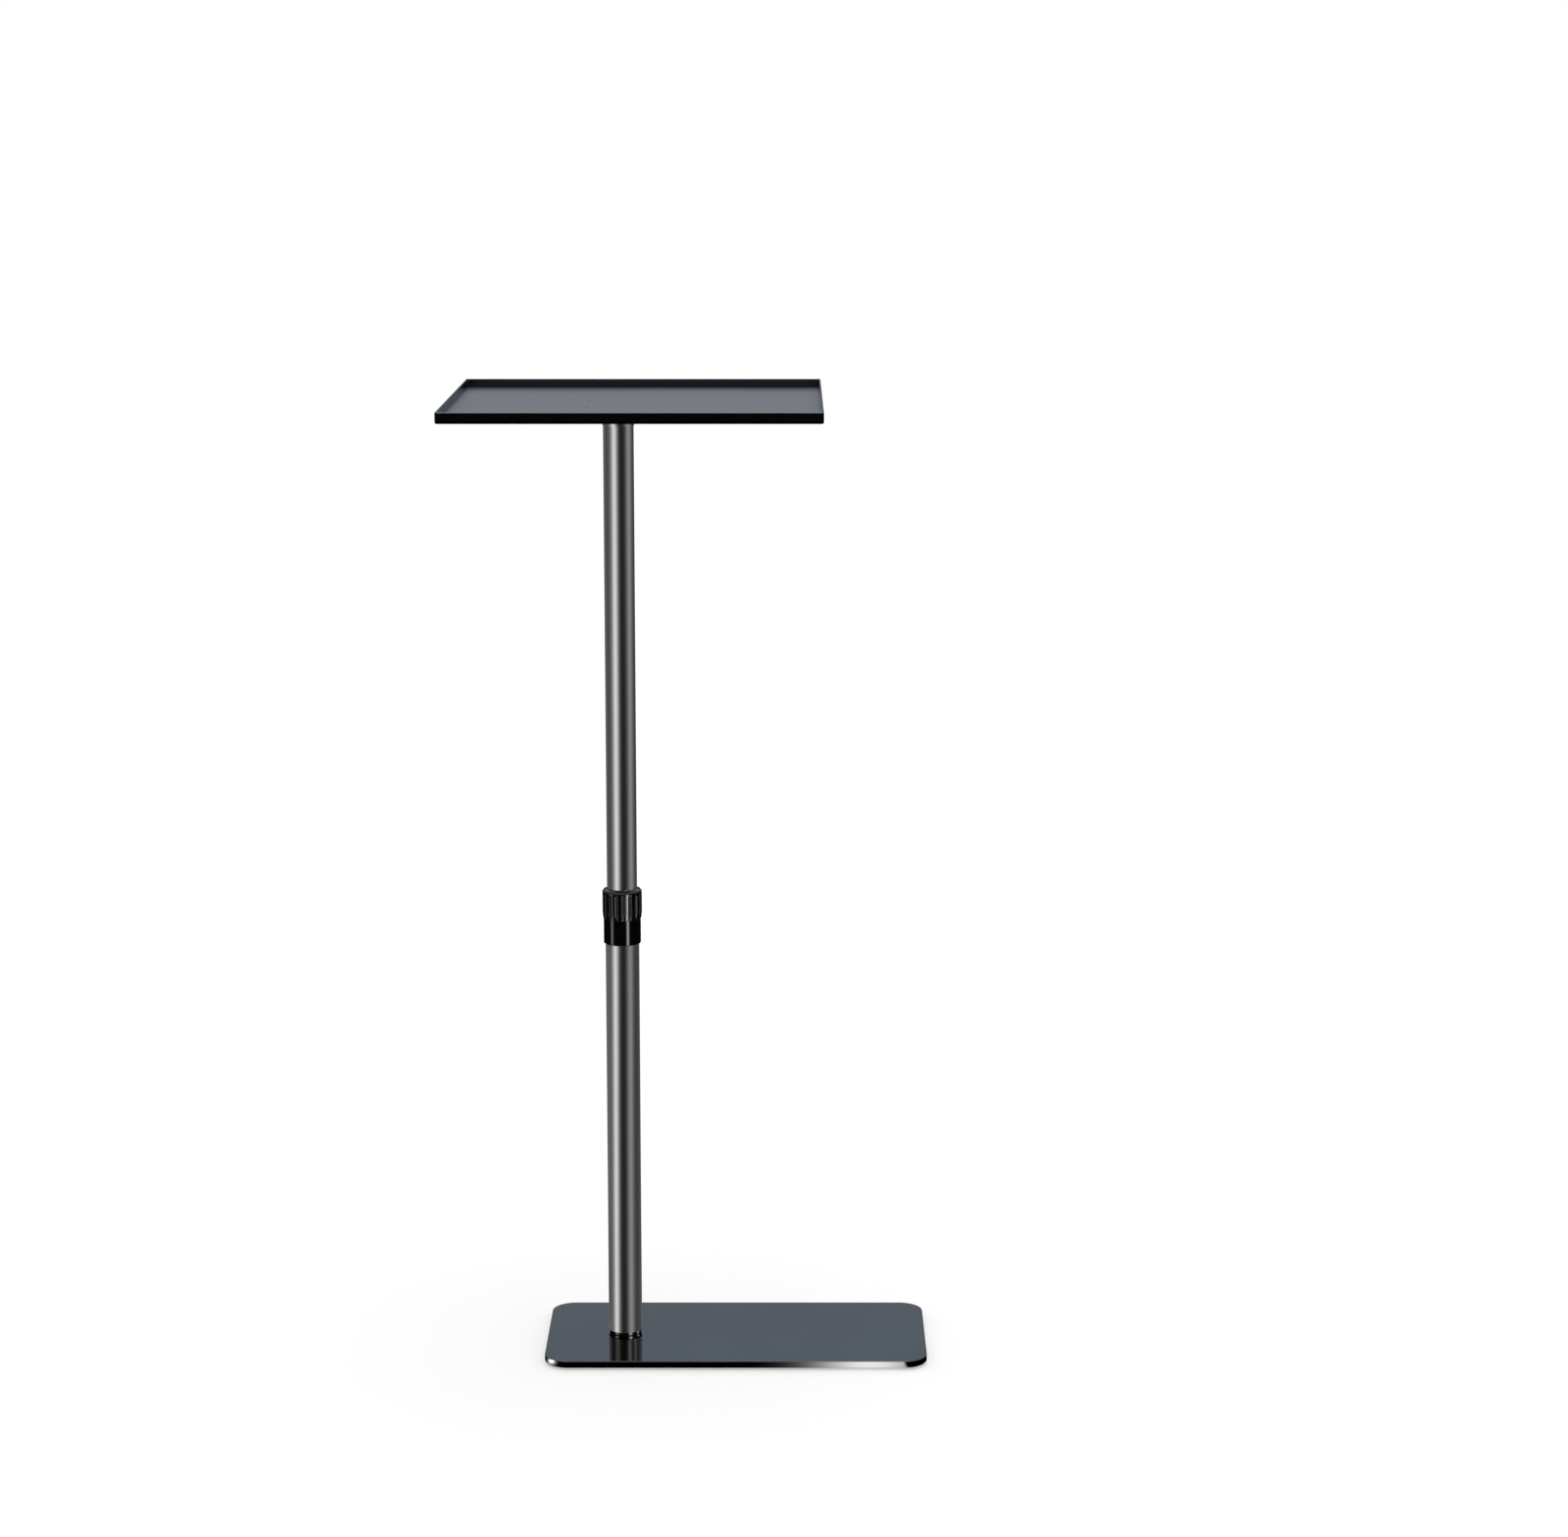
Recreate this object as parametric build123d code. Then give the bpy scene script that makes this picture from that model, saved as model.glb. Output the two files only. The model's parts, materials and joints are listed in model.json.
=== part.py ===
from build123d import *
import os

# Free-standing tray stand: a flat steel base, a two-stage round column with a twist lock, and a shallow steel tray.
# Millimetres, +Z up, +X to the right, +Y away from the viewer. The origin is on the floor, under the middle of
# the whole outline, and the column stands to the left of it.

# Base plate
base_length = 318.0
base_depth = 150.0
base_thickness = 6.0
base_corner_radius = 20.0
base_top_round = 0.6
base_bottom_bevel = 0.8
column_inset = 65.0  # plate's left end to the column axis

# Rubber pads under the plate
pad_radius = 11.0
pad_height = 2.0
pad_edge_break = 0.4
pad_inset = 24.0  # plate's edges to a pad's centre

# Column bolt, a countersunk screw from under the plate
bolt_radius = 4.0
bolt_head_radius = 8.0
bolt_reach = 22.0  # how far it goes into the foot plug
bolt_socket_flats = 5.0
bolt_socket_depth = 2.5

# Foot plug, which the lower tube stands on
plug_ring_radius = 13.2
plug_ring_height = 3.0
plug_spigot_length = 30.0
plug_cup_radius = 9.0
plug_cup_depth = 5.0

# Column tubes
lower_tube_radius = 14.0
lower_tube_wall = 1.2
lower_tube_length = 356.0
upper_tube_radius = 12.5
upper_tube_wall = 1.2
upper_tube_length = 520.0
insertion = 100.0  # upper tube inside the lower one, as set
tube_edge_break = 0.3

# Guide plug in the foot of the upper tube
guide_collar_height = 4.0
guide_spigot_length = 20.0
guide_wall = 2.2

# Twist lock: sleeve on the lower tube, split collet on the sleeve's neck, ribbed nut over both
sleeve_wall = 1.45
sleeve_grip = 21.0  # length of tube that the sleeve covers
sleeve_step = 0.5  # shoulder above the end of the tube
sleeve_foot_bevel = 1.0
neck_wall = 1.6
neck_height = 10.5
collet_height = 11.7
collet_foot_wall = 1.6
collet_tip_wall = 1.0
collet_slots = 6
collet_slot_width = 1.4
collet_web = 3.0  # ring left below the slots
nut_radius = 16.4
nut_height = 25.0
nut_top_round = 3.0
nut_foot_inset = 0.6
nut_taper_height = 5.0  # from the foot to the full radius
nut_flutes = 18
flute_radius = 1.7
flute_depth = 0.75
flute_top_margin = 4.8
nut_turn = 6.0  # degrees from the front to the nearest flute, as set

# Tray hub, a flange with a socket welded on for the upper tube
hub_radius = 46.0
hub_thickness = 4.0
hub_rim_thickness = 2.5
hub_socket_depth = 11.5
hub_socket_wall = 0.9
hub_socket_tip_wall = 0.3
hub_socket_taper = 4.0  # height over which the socket thins towards its foot
hub_weld = 2.5

# Tray, one folded steel sheet
tray_width = 300.0
tray_depth = 300.0
tray_rim_height = 9.0
tray_sheet = 1.2
tray_corner_inside = 0.6  # radius of the upright corners, inside the sheet
tray_bend_inside = 0.3  # radius of the fold, inside the sheet
tray_rim_bevel = 0.3
tray_offset = 15.0  # tray's middle to the right of the column axis

# Tray screws, countersunk from above into the hub
screw_radius = 1.35  # M3 at the middle of its thread
screw_head_radius = 2.5  # the cone ends within the sheet
screw_length = 5.0
screw_circle_radius = 34.0
screw_socket_flats = 2.0
screw_socket_depth = 1.0

# Clearances
slip_gap = 0.05  # pieces pushed together and screws in their holes
running_gap = 0.1  # one side, where a piece turns or slides on another
free_gap = 0.3  # one side, between pieces that pass without touching

# Places worked out from the sizes
column_x = -(tray_offset - tray_width / 2 + base_length - column_inset) / 2
base_x = column_x + base_length / 2 - column_inset
tray_x = column_x + tray_offset
base_top = pad_height + base_thickness
lower_tube_foot = base_top + plug_ring_height
lower_tube_top = lower_tube_foot + lower_tube_length
lower_tube_bore = lower_tube_radius - lower_tube_wall
upper_tube_foot = lower_tube_top - insertion
upper_tube_top = upper_tube_foot + upper_tube_length
upper_tube_bore = upper_tube_radius - upper_tube_wall
sleeve_foot = lower_tube_top - sleeve_grip
sleeve_shoulder = lower_tube_top + sleeve_step
sleeve_bore = lower_tube_radius + slip_gap
sleeve_radius = sleeve_bore + sleeve_wall
neck_radius = lower_tube_bore + neck_wall
neck_top = sleeve_shoulder + neck_height
collet_bore = upper_tube_radius + running_gap
collet_top = neck_top + collet_height
nut_top = sleeve_shoulder + nut_height
nut_bore = neck_radius + running_gap
nut_mouth = upper_tube_radius + free_gap
tray_floor = upper_tube_top + hub_thickness
column = Pos(column_x, 0, 0)


def turned(*points):
    """Solid of revolution about the column axis from corners given as (radius, height)."""
    outline = Plane.XZ * make_face(Polyline(*points, close=True))
    return column * revolve(outline, Axis.Z)


def tube(outer, bore, foot, top):
    """Hollow tube with its cut ends broken on the outside and the inside."""
    broken = tube_edge_break
    return turned(
        (bore + broken, foot),
        (outer - broken, foot),
        (outer, foot + broken),
        (outer, top - broken),
        (outer - broken, top),
        (bore + broken, top),
        (bore, top - broken),
        (bore, foot + broken),
    )


def hex_prism(flats, height):
    """Hexagonal prism of the given width across its flats, standing on the XY plane."""
    return extrude(RegularPolygon(flats / 2, 6, major_radius=False), height)


def countersunk(radius, head_radius, length):
    """Countersunk screw at right angles to the XY plane: flat head face at zero, shank upwards."""
    cone_height = head_radius - radius
    outline = Polyline((0, 0), (head_radius, 0), (radius, cone_height), (radius, length), (0, length), close=True)
    return revolve(Plane.XZ * make_face(outline), Axis.Z)


def circle_at(part, height, pick):
    """Circular edges of a turned piece at one height, smallest or largest radius by index."""
    level = part.edges().filter_by(GeomType.CIRCLE).filter_by(lambda e: abs(e.center().Z - height) < slip_gap)
    return level.sort_by(SortBy.RADIUS)[pick]


def pad_places():
    """Names and centres of the four pads, near the corners of the plate."""
    reach_x = base_length / 2 - pad_inset
    reach_y = base_depth / 2 - pad_inset
    for y_name, y_side in (("front", -1), ("back", 1)):
        for x_name, x_side in (("left", -1), ("right", 1)):
            yield f"foot_pad_{y_name}_{x_name}", Pos(base_x + x_side * reach_x, y_side * reach_y, 0)


def screw_places():
    """Places of the tray screws, heads up and flush with the tray's floor."""
    head_face = tray_floor + tray_sheet
    corners = PolarLocations(screw_circle_radius, 4, start_angle=45, rotate=False)
    return [Pos(column_x, 0, head_face) * corner * Rot(X=180) for corner in corners]


def base_plate():
    """Steel plate with rounded corners and eased edges, countersunk from below for the column bolt."""
    plate = extrude(RectangleRounded(base_length, base_depth, base_corner_radius), base_thickness)
    plate = fillet(plate.faces().sort_by(Axis.Z)[-1].edges(), base_top_round)
    plate = chamfer(plate.faces().sort_by(Axis.Z)[0].edges(), base_bottom_bevel)
    bolt_hole = countersunk(bolt_radius + slip_gap, bolt_head_radius + slip_gap, base_thickness)
    return Pos(base_x, 0, pad_height) * plate - Pos(column_x, 0, pad_height) * bolt_hole


def foot_pad():
    """Round rubber pad with an eased lower edge."""
    pad = extrude(Circle(pad_radius), pad_height)
    return chamfer(pad.edges().sort_by(Axis.Z)[0], pad_edge_break)


def column_bolt():
    """Countersunk bolt that draws the foot plug down on to the plate, with a hexagon socket."""
    bolt = countersunk(bolt_radius, bolt_head_radius, base_thickness + bolt_reach)
    bolt -= hex_prism(bolt_socket_flats, bolt_socket_depth)
    return Pos(column_x, 0, pad_height) * bolt


def foot_plug():
    """Moulded plug: a ring that shows under the tube, a spigot inside it and a hole for the bolt."""
    spigot = lower_tube_bore - slip_gap
    top = lower_tube_foot + plug_spigot_length
    hole = bolt_radius + slip_gap
    plug = turned(
        (hole, base_top),
        (plug_ring_radius, base_top),
        (plug_ring_radius, lower_tube_foot),
        (spigot, lower_tube_foot),
        (spigot, top),
        (plug_cup_radius, top),
        (plug_cup_radius, top - plug_cup_depth),
        (hole, top - plug_cup_depth),
    )
    return chamfer(circle_at(plug, top, -1), slip_gap + tube_edge_break)


def lower_tube():
    return tube(lower_tube_radius, lower_tube_bore, lower_tube_foot, lower_tube_top)


def upper_tube():
    return tube(upper_tube_radius, upper_tube_bore, upper_tube_foot, upper_tube_top)


def guide_plug():
    """Plug pushed into the upper tube, with a collar that runs in the lower tube."""
    collar = lower_tube_bore - running_gap
    spigot = upper_tube_bore - slip_gap
    foot = upper_tube_foot - guide_collar_height
    top = upper_tube_foot + guide_spigot_length
    bore = spigot - guide_wall
    plug = turned(
        (bore, foot),
        (collar, foot),
        (collar, upper_tube_foot),
        (spigot, upper_tube_foot),
        (spigot, top),
        (bore, top),
    )
    return chamfer(circle_at(plug, foot, -1), tube_edge_break)


def lock_sleeve():
    """Smooth moulded sleeve on the lower tube, with a thinner neck that the nut turns on."""
    return turned(
        (sleeve_bore, sleeve_foot),
        (sleeve_radius - sleeve_foot_bevel, sleeve_foot),
        (sleeve_radius, sleeve_foot + sleeve_foot_bevel),
        (sleeve_radius, sleeve_shoulder),
        (neck_radius, sleeve_shoulder),
        (neck_radius, neck_top),
        (lower_tube_bore, neck_top),
        (lower_tube_bore, lower_tube_top),
        (sleeve_bore, lower_tube_top),
    )


def lock_collet():
    """Split ring that grips the upper tube: tapered fingers between slots, one slot cut right through."""
    collet = turned(
        (collet_bore, neck_top),
        (collet_bore + collet_foot_wall, neck_top),
        (collet_bore + collet_tip_wall, collet_top),
        (collet_bore, collet_top),
    )
    slot_length = collet_bore + 2 * collet_foot_wall
    slot = Box(slot_length, collet_slot_width, collet_height, align=(Align.MIN, Align.CENTER, Align.MIN))
    for number, place in enumerate(PolarLocations(0, collet_slots)):
        slot_foot = neck_top if number == 0 else neck_top + collet_web
        collet -= Pos(column_x, 0, slot_foot) * place * slot
    return collet


def lock_nut():
    """Ribbed nut: a bore for the neck, a cone that closes the collet, and flutes that run out on a tapered foot."""
    cone_foot = collet_bore + collet_foot_wall + free_gap
    cone_tip = collet_bore + collet_tip_wall + free_gap
    lip_foot = collet_top + free_gap
    nut = turned(
        (nut_bore, sleeve_shoulder),
        (nut_radius - nut_foot_inset, sleeve_shoulder),
        (nut_radius, sleeve_shoulder + nut_taper_height),
        (nut_radius, nut_top),
        (nut_mouth, nut_top),
        (nut_mouth, lip_foot),
        (cone_tip, lip_foot),
        (cone_foot, neck_top),
        (nut_bore, neck_top - free_gap),
    )
    nut = fillet(circle_at(nut, nut_top, -1), nut_top_round)
    flute_height = nut_height - flute_top_margin
    flute = Cylinder(flute_radius, flute_height, align=(Align.CENTER, Align.CENTER, Align.MIN))
    run_out = Cone(flute_radius, 0, 2 * flute_radius, align=(Align.CENTER, Align.CENTER, Align.MIN))
    flute += Pos(0, 0, flute_height) * run_out
    flute_circle = nut_radius + flute_radius - flute_depth
    places = PolarLocations(flute_circle, nut_flutes, start_angle=nut_turn - 90)
    return nut - [Pos(column_x, 0, sleeve_shoulder) * place * flute for place in places]


def tray_hub():
    """Turned flange under the tray, thinner towards its rim, with a short socket welded on round the upper tube."""
    socket_bore = upper_tube_radius + slip_gap
    socket_radius = socket_bore + hub_socket_wall
    socket_foot = upper_tube_top - hub_socket_depth
    hub = turned(
        (0, upper_tube_top),
        (socket_bore, upper_tube_top),
        (socket_bore, socket_foot),
        (socket_bore + hub_socket_tip_wall, socket_foot),
        (socket_radius, socket_foot + hub_socket_taper),
        (socket_radius, upper_tube_top - hub_weld),
        (socket_radius + hub_weld, upper_tube_top),
        (hub_radius, tray_floor - hub_rim_thickness),
        (hub_radius, tray_floor),
        (0, tray_floor),
    )
    hole = countersunk(screw_radius + slip_gap, screw_head_radius + slip_gap, tray_sheet + 2 * hub_thickness)
    return hub - [place * hole for place in screw_places()]


def rounded_block(width, depth, height, corner, bend):
    """Upright block with round corners and a round lower edge, standing on the XY plane."""
    block = extrude(RectangleRounded(width, depth, corner), height)
    return fillet(block.faces().sort_by(Axis.Z)[0].edges(), bend)


def tray_pan():
    """Shallow square pan folded from one sheet, with the screw holes countersunk through its floor."""
    sheet = tray_sheet
    corner = tray_corner_inside
    bend = tray_bend_inside
    pan = rounded_block(tray_width, tray_depth, tray_rim_height, corner + sheet, bend + sheet)
    inside_width = tray_width - 2 * sheet
    inside_depth = tray_depth - 2 * sheet
    pan -= Pos(0, 0, sheet) * rounded_block(inside_width, inside_depth, tray_rim_height, corner, bend)
    pan = chamfer(pan.faces().sort_by(Axis.Z)[-1].edges(), tray_rim_bevel)
    pan = Pos(tray_x, 0, tray_floor) * pan
    hole = countersunk(screw_radius + slip_gap, screw_head_radius + slip_gap, screw_length)
    return pan - [place * hole for place in screw_places()]


def tray_screw():
    """Countersunk screw with a hexagon socket, head face at zero."""
    screw = countersunk(screw_radius, screw_head_radius, screw_length)
    return screw - hex_prism(screw_socket_flats, screw_socket_depth)


def all_pieces():
    """Every piece of the stand by name, from the floor up."""
    for name, place in pad_places():
        yield name, place * foot_pad()
    yield "base_plate", base_plate()
    yield "column_bolt", column_bolt()
    yield "foot_plug", foot_plug()
    yield "lower_tube", lower_tube()
    yield "lock_sleeve", lock_sleeve()
    yield "lock_collet", lock_collet()
    yield "lock_nut", lock_nut()
    yield "guide_plug", guide_plug()
    yield "upper_tube", upper_tube()
    yield "tray_hub", tray_hub()
    yield "tray_pan", tray_pan()
    for number, place in enumerate(screw_places(), start=1):
        yield f"tray_screw_{number}", place * tray_screw()


os.makedirs("parts", exist_ok=True)
for piece_name, piece in all_pieces():
    export_step(piece, f"parts/{piece_name}.step")
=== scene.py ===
import json
import math

import bmesh
import bpy
import numpy as np
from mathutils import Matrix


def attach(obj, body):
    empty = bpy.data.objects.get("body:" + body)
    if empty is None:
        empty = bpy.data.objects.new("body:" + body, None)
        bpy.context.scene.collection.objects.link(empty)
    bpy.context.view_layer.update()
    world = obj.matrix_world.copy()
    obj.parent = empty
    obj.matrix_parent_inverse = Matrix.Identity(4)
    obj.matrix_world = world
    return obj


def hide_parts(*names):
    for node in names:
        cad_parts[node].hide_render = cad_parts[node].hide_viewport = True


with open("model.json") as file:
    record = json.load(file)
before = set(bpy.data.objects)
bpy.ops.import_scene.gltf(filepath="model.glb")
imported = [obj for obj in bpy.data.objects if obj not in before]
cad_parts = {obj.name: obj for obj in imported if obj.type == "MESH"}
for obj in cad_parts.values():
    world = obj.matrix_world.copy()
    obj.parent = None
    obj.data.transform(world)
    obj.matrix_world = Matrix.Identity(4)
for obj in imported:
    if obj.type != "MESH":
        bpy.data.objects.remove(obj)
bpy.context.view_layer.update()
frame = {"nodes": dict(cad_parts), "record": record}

# A tray stand on a white studio floor. +Z is up and +Y away from the viewer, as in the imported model.
# Shapes are worked out in millimetres and put into the meshes in metres.
MM = 0.001

# Sizes in millimetres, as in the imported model
COLUMN_X = -59.0
PLATE_TOP = 8.0
LOWER_RADIUS = 14.0
LOWER_FOOT = 11.0
LOWER_TOP = 367.0
UPPER_RADIUS = 12.5
UPPER_FOOT = 267.0
UPPER_TOP = 787.0
TUBE_WALL = 1.2
TUBE_EASE = 0.3
PLUG_RING_RADIUS = 13.2
PLUG_SPIGOT_RADIUS = 12.75
PLUG_TOP = 41.0
PLUG_CUP_RADIUS = 9.0
PLUG_CUP_DEPTH = 5.0
PLUG_HOLE_RADIUS = 4.05
SLEEVE_BORE = 14.05
SLEEVE_RADIUS = 15.5
SLEEVE_FOOT = 346.0
SLEEVE_SHOULDER = 367.5
NECK_RADIUS = 14.4
NECK_TOP = 378.0
NUT_BORE = 14.5
NUT_RADIUS = 16.4
NUT_FOOT_INSET = 0.6
NUT_TAPER_HEIGHT = 5.0
NUT_TAPER_ROUND = 6.0
NUT_TOP = 392.5
NUT_TOP_ROUND = 3.0
NUT_MOUTH = 12.8
NUT_LIP_FOOT = 390.0
NUT_CONE_TIP = 13.9
NUT_CONE_ROUND = 2.0
FLUTES = 18
FLUTE_RADIUS = 1.7
FLUTE_CIRCLE = 17.35
FLUTE_TOP = 387.7
FLUTE_TURN = -84.0  # degrees from +X to the first flute
SOCKET_RADIUS = 13.45
PAD_RADIUS = 11.0
PAD_HEIGHT = 2.0
PAD_PLACES = {
    "foot_pad_front_left": (-100.0, -51.0),
    "foot_pad_front_right": (170.0, -51.0),
    "foot_pad_back_left": (-100.0, 51.0),
    "foot_pad_back_right": (170.0, 51.0),
}

# Fine trim in millimetres, made here alone
CORNER_LEAD = 0.08  # from the end of an eased corner to the next point on its side
NUT_POINT_STEP = 0.4
NUT_SIDES_PER_FLUTE = 24
GROOVE_SOFTNESS = 0.08
HOLLOW_DEPTHS = (0.1, 0.4)  # cuts at which a groove begins to be dull and is wholly so
WELD_SIZE = 2.6
WELD_SINK = 0.3  # how far the bead's ends are led into the metal
WELD_RIPPLES = 52
WELD_RIPPLE_SHARE = 0.045
WELD_RIPPLE_BOW = 2.2  # radians that a ripple runs ahead in the middle of the bead
PAD_EASE = 0.6
PAD_TOP_EASE = 0.1
PAD_RIM = 1.8  # plain rim outside the rings
PAD_RINGS = 3
PAD_RING_DEPTH = 0.3

# Camera, fitted to the corners of the tray and the base
SENSOR = 36.0
PICTURE_WIDTH = 1600.0
FOCAL_PIXELS = 3870.0
CAMERA_PLACE = (0.07508, -3.06515, 1.07803)
CAMERA_TILT = 10.808  # degrees below level
CAMERA_REACH = 200.0
COLUMN_VIEW = 2.5  # degrees to the right of the front, from the column to the camera

# Studio, in metres. A panel has a middle and a half-width in degrees, to the right of the camera, and a
# strength.
SKY_FILL = 0.73  # what the sky gives to dull surfaces, the lamp giving the rest
FLOOR_WHITE = 0.6
FLOOR_SEEN = 1.06  # what paint and lift give together where no shadow falls
FLOOR_FADE = (0.9, 2.4)  # distances between which the floor turns into even light
FLOOR_RADII = (0, 0.25, 0.5, 1, 2, 4, 8, 16, 32, 60)
LAMP_SIZE = 2.7
LAMP_WATTS = 60.0
LAMP_HEIGHT = 4.5
FLAG_RADIUS = 10.0
TALL_RADIUS = 9.0
FRONT_TOP = 2.1
TALL_TOP = 7.0
BACK_TOP = 2.4
SKY_FLAG_TOP = 4.2
SIDE_REACH = 122  # degrees to each side that a wall goes round
LOWER_REACH = 1.45  # the lower tube mirrors the floor up to here
UPPER_REACH = 1.75  # the upper tube mirrors it from here on
UPPER_END = 7.8
LOWER_GROUND = 0.045
LOWER_PANELS = (
    (-50, 14, 1.85),
    (-78, 28, 0.33),
    (52, 15, 0.6),
    (75, 22, 0.13),
    (-135, 20, 0.24),
    (135, 20, 0.14),
    (180, 8, 0.6),
)
LOWER_LEAN = 12  # degrees that the panels turn left on the way to the foot
LOWER_LEAN_RADIUS = 1.3
UPPER_GROUND = 0.04
UPPER_PANELS = (
    (-33, 15, 1.9),
    (-60, 28, 0.3),
    (79, 17, 0.57),
    (105, 30, 0.17),
    (-135, 20, 0.26),
    (180, 8, 0.6),
)
UPPER_LEAN = 6  # degrees that they turn left on the way down to the lock
BEHIND_ANGLES = (95, 130)
BEHIND_RADII = (0.45, 0.15)
BEHIND_GLOW = 0.2
SLEEVE_STRIPS = ((-66, 5, 4.3), (34, 4.5, 11.5), (180, 5, 8.0))
NUT_STRIPS = ((-66, 5, 4.3), (31, 5.5, 13.0), (180, 5, 8.0))
STRIP_RADII = (0.3, 1, 3, 10)
TALL_GROUND = 0.1
TALL_PANELS = ((-58, 12, 1.25), (30, 9, 2.0), (72, 9, 1.4), (120, 20, 0.6), (-130, 20, 0.45))
TALL_TINT = (1.19, 1, 0.85)  # evens out the base's cool tone
BACK_GREY = 0.43
BACK_PALING = (1.8, 2.3)
BACK_TINT = (0.91, 1, 1.14)
FOOT_SPARKS = ((-69, 8, 4.0), (40, 8, 10.0), (110, 8, 4.0))
FOOT_GLINTS = ((-69, 8, 32.0), (40, 8, 80.0), (110, 8, 32.0))
GLINT_RADIUS = 0.025
GLINT_HEIGHTS = (0.0118, 0.0148)
GLINT_ANGLES = {"left": -50, "right": 32, "far_right": 87}
GLINT_REACH = 13  # degrees to each side
MIRROR_TURNS = 16

# Light on the base's edges, places and sizes in millimetres
EDGE_TINT = (1.28, 1, 0.79)
EDGE_PANEL_GLOW = 8
EDGE_PANEL_MIDDLE = 146
EDGE_PANEL_WIDTH = 27
EDGE_PANEL_END = (180, 176)
EDGE_PANEL_FRONT = (-70, -74)
EDGE_SPOT_GLOW = 19
EDGE_SPOT_PLACE = (-135, -70)
EDGE_SPOT_WIDTH = 5.2
EDGE_PALING = (-30, 10)
EDGE_CARD = ((-300, 361), (-250, 251))
PLATE_CARD = ((-127, 198), (-78, 79))
CARD_STEP = 3.0

# Heights of the flat panels in millimetres, each clear of the next
FLAG_LIFT = 0.5
SLEEVE_STRIP_LIFT = 0.7
NUT_STRIP_LIFT = 0.8
EDGE_CARD_LIFT = 1.0
PLATE_CARD_LIFT = PLATE_TOP + 0.4
FOOT_FLAG_LIFT = PLATE_TOP + 0.5
FOOT_SPARK_LIFT = PLATE_TOP + 0.6


def ramp(value, start, end):
    """Straight rise from 0 at start to 1 at end, flat outside them. end may be the lesser."""
    return np.clip((value - start) / (end - start), 0, 1)


def eased(corners, steps=6):
    """Closed outline through corners (radius, height, round), each corner made an arc of its round.

    An arc swings between the two points where its circle touches the sides. A lead point stands on the
    side before it and after it, so that smooth shading stays on the arc. The third column is 1 on arcs
    and 0 on leads.
    """
    rows = np.array(corners, float)
    points, radius = rows[:, :2], rows[:, 2:]
    back = np.roll(points, 1, axis=0) - points
    ahead = np.roll(points, -1, axis=0) - points
    back /= np.linalg.norm(back, axis=1, keepdims=True)
    ahead /= np.linalg.norm(ahead, axis=1, keepdims=True)
    half = np.arccos(np.sum(back * ahead, axis=1, keepdims=True)) / 2
    inward = (back + ahead) / np.linalg.norm(back + ahead, axis=1, keepdims=True)
    centre = points + inward * radius / np.sin(half)
    touch = radius / np.tan(half)
    first = points + back * touch - centre
    last = points + ahead * touch - centre
    turn = np.pi - 2 * half
    part = np.linspace(0, 1, steps + 1)
    from_first = np.sin((1 - part) * turn) / np.sin(turn)
    from_last = np.sin(part * turn) / np.sin(turn)
    arcs = centre[:, None] + from_first[..., None] * first[:, None] + from_last[..., None] * last[:, None]
    before = points + back * (touch + CORNER_LEAD)
    after = points + ahead * (touch + CORNER_LEAD)
    outline = np.concatenate([before[:, None], arcs, after[:, None]], axis=1)
    on_arc = np.ones(outline.shape[:2])
    on_arc[:, [0, -1]] = 0
    return np.column_stack([outline.reshape(-1, 2), on_arc.ravel()])


def refined(outline, step, beyond):
    """The same closed outline with points added every step where its radius is more than beyond."""
    loop = np.vstack([outline, outline[:1]])
    along = np.r_[0, np.hypot(*np.diff(loop[:, :2], axis=0).T).cumsum()]
    extra = np.arange(0, along[-1], step)
    extra = extra[np.interp(extra, along, loop[:, 0]) > beyond]
    marks = np.union1d(along[:-1], extra)
    marks = marks[np.r_[True, np.diff(marks) > step / 20]]
    return np.column_stack([np.interp(marks, along, column) for column in loop.T])


def add_mesh(name, points, faces, spread=None, **marks):
    """Smooth mesh object from whole arrays, doubles merged, with any marks as numbers on its points.

    A closed piece comes with its spread, a map of its surface, and has its faces turned outwards.
    """
    mesh = bpy.data.meshes.new(name)
    mesh.from_pydata((points.reshape(-1, 3) * MM).tolist(), [], faces.reshape(-1, 4).tolist())
    if spread is not None:
        mesh.uv_layers.new(name="around").uv.foreach_set("vector", spread.ravel())
    for title, values in marks.items():
        mesh.attributes.new(title, "FLOAT", "POINT").data.foreach_set("value", values.ravel())
    shell = bmesh.new()
    shell.from_mesh(mesh)
    bmesh.ops.remove_doubles(shell, verts=shell.verts, dist=1e-7)
    if spread is not None:
        bmesh.ops.recalc_face_normals(shell, faces=shell.faces)
    shell.to_mesh(mesh)
    shell.free()
    mesh.shade_smooth()
    piece = bpy.data.objects.new(name, mesh)
    bpy.context.scene.collection.objects.link(piece)
    return piece


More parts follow.
